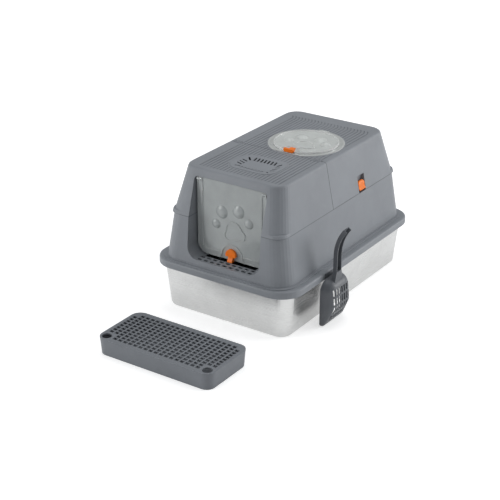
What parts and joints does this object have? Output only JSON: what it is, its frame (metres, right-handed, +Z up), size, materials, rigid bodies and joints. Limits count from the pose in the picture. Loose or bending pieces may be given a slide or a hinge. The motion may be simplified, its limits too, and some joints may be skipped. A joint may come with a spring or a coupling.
{
  "type": "enclosed litter box",
  "caption": "Steel litter pan under a grey plastic hood with a clear swing flap, a round top hatch, a slotted vent, a hung scoop and a separate grille-topped litter step.",
  "frame": {"origin": "middle of the pan's underside, on the floor", "axes": "+Z up, -Y out of the doorway towards the litter step, +X to the right seen from the doorway"},
  "size_m": [0.4508, 0.8645, 0.3737],
  "materials": {
    "grey_plastic": "matt, fine texture",
    "step_plastic": "matt, fine texture",
    "dark_plastic": "matt, fine texture",
    "steel": "bright, fine brushed",
    "pin_steel": "plain",
    "orange_plastic": "semi gloss",
    "clear_plastic": "clear, slightly smoked",
    "charcoal": "felted pad"
  },
  "bodies": {
    "pan": {"steel_pan": "steel"},
    "lower_frame": {"lower_frame": "grey_plastic", "front_hood": "grey_plastic", "hood_hinge_pins": "pin_steel", "flap_hinge_pins": "clear_plastic", "filter_tray": "dark_plastic", "charcoal_filter": "charcoal", "scoop_bracket": "dark_plastic"},
    "rear_hood": {"rear_hood": "grey_plastic", "side_latch_pins": "pin_steel", "hatch_collar": "clear_plastic", "hatch_hinge_pin": "pin_steel"},
    "side_latch_right": {"side_latch_right": "orange_plastic"},
    "side_latch_left": {"side_latch_left": "orange_plastic"},
    "front_flap": {"front_flap": "clear_plastic"},
    "flap_latch": {"flap_latch": "orange_plastic"},
    "hatch": {"hatch_disc": "clear_plastic"},
    "hatch_latch": {"hatch_latch": "orange_plastic"},
    "vent_cover": {"vent_cover": "grey_plastic"},
    "scoop": {"litter_scoop": "dark_plastic"},
    "step": {"step_tray": "step_plastic"},
    "step_grille": {"step_grille": "step_plastic"}
  },
  "joints": [
    {"name": "frame_lift", "type": "slide", "parent": "pan", "child": "lower_frame", "axis": [0, 0, 1], "range_m": [0, 0.15]},
    {"name": "hood_hinge", "type": "hinge", "parent": "lower_frame", "child": "rear_hood", "pos_m": [0, -0.045, 0.364], "axis": [1, 0, 0], "range_deg": [0, 105]},
    {"name": "latch_right_hinge", "type": "hinge", "parent": "rear_hood", "child": "side_latch_right", "pos_m": [0.1516, 0.095, 0.2735], "axis": [0, -1, 0], "range_deg": [0, 35]},
    {"name": "latch_left_hinge", "type": "hinge", "parent": "rear_hood", "child": "side_latch_left", "pos_m": [-0.1516, 0.095, 0.2735], "axis": [0, 1, 0], "range_deg": [0, 35]},
    {"name": "flap_hinge", "type": "hinge", "parent": "lower_frame", "child": "front_flap", "pos_m": [0.003, -0.24182, 0.3385], "axis": [1, 0, 0], "range_deg": [-80, 80]},
    {"name": "flap_latch_slide", "type": "slide", "parent": "front_flap", "child": "flap_latch", "axis": [0, 0, 1], "range_m": [0, 0.005]},
    {"name": "hatch_hinge", "type": "hinge", "parent": "rear_hood", "child": "hatch", "pos_m": [0.028, 0.1258, 0.3683], "axis": [-1, 0, 0], "range_deg": [0, 110]},
    {"name": "hatch_latch_slide", "type": "slide", "parent": "hatch", "child": "hatch_latch", "axis": [0, 1, 0], "range_m": [0, 0.004]},
    {"name": "vent_cover_lift", "type": "slide", "parent": "lower_frame", "child": "vent_cover", "axis": [0, 0, 1], "range_m": [0, 0.05]},
    {"name": "scoop_lift", "type": "slide", "parent": "lower_frame", "child": "scoop", "axis": [0, 0, 1], "range_m": [0, 0.06]},
    {"name": "step_slide", "type": "slide", "parent": "pan", "child": "step", "axis": [0, 1, 0], "range_m": [0, 0.1]},
    {"name": "step_grille_lift", "type": "slide", "parent": "step", "child": "step_grille", "axis": [0, 0, 1], "range_m": [0, 0.05]}
  ]
}
